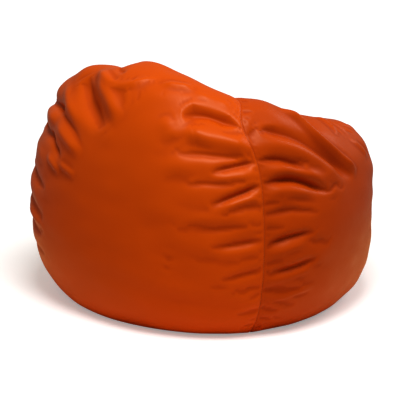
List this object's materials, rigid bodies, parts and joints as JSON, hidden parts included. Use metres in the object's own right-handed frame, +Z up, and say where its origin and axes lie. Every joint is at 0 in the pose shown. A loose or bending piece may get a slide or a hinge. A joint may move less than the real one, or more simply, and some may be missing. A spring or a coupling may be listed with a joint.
{
  "type": "bean bag chair",
  "caption": "Slumped round bean bag seat with a high back, gored leather-look cover, split base with a zip, inner liner and bead fill.",
  "frame": {"origin": "on the floor, at the middle of the bag's outline", "axes": "+Z up, -Y towards the sitter's legs (the low front), +X to the right of someone who looks along +Y"},
  "size_m": [1.0236, 0.99, 0.73],
  "materials": {
    "cover": "satin orange leather-look fabric with a fine grain",
    "cover_base": "satin orange leather-look fabric, a little darker underneath",
    "thread": "bonded upholstery thread",
    "zip_tape": "woven polyester tape",
    "zip_coil": "nylon coil",
    "slider_metal": "nickel-coloured die-cast zinc",
    "liner": "thin woven polyester",
    "liner_coil": "nylon coil",
    "label": "blank woven label",
    "beads": "expanded polystyrene beads"
  },
  "bodies": {
    "bag": {"cover_panel_back": "cover", "cover_panel_left": "cover", "cover_panel_right": "cover", "cover_cap": "cover", "cover_base_front": "cover_base", "cover_base_rear": "cover_base", "seam_thread_left": "thread", "seam_thread_right": "thread", "seam_thread_front": "thread", "cap_thread": "thread", "base_ring_thread": "thread", "base_join_thread": "thread", "cover_zip_tape_front": "zip_tape", "cover_zip_tape_rear": "zip_tape", "cover_zip_coil_front": "zip_coil", "cover_zip_coil_rear": "zip_coil", "cover_zip_stops": "slider_metal", "cover_zip_stitch_front": "thread", "cover_zip_stitch_rear": "thread", "care_label": "label", "liner_panel_back": "liner", "liner_panel_left": "liner", "liner_panel_right": "liner", "liner_cap": "liner", "liner_base_front": "liner", "liner_base_rear": "liner", "liner_thread": "liner", "liner_zip_tape_front": "liner", "liner_zip_tape_rear": "liner", "liner_zip_coil_front": "liner_coil", "liner_zip_coil_rear": "liner_coil", "liner_zip_stops": "slider_metal", "liner_zip_stitch": "liner", "bead_fill": "beads"},
    "cover_slider": {"cover_zip_slider": "slider_metal"},
    "liner_slider": {"liner_zip_slider": "slider_metal"}
  },
  "joints": [
    {"name": "cover_zip_slide", "type": "slide", "parent": "bag", "child": "cover_slider", "axis": [1, 0, 0], "range_m": [0, 0.546]},
    {"name": "liner_zip_slide", "type": "slide", "parent": "bag", "child": "liner_slider", "axis": [1, 0, 0], "range_m": [0, 0.546]}
  ]
}
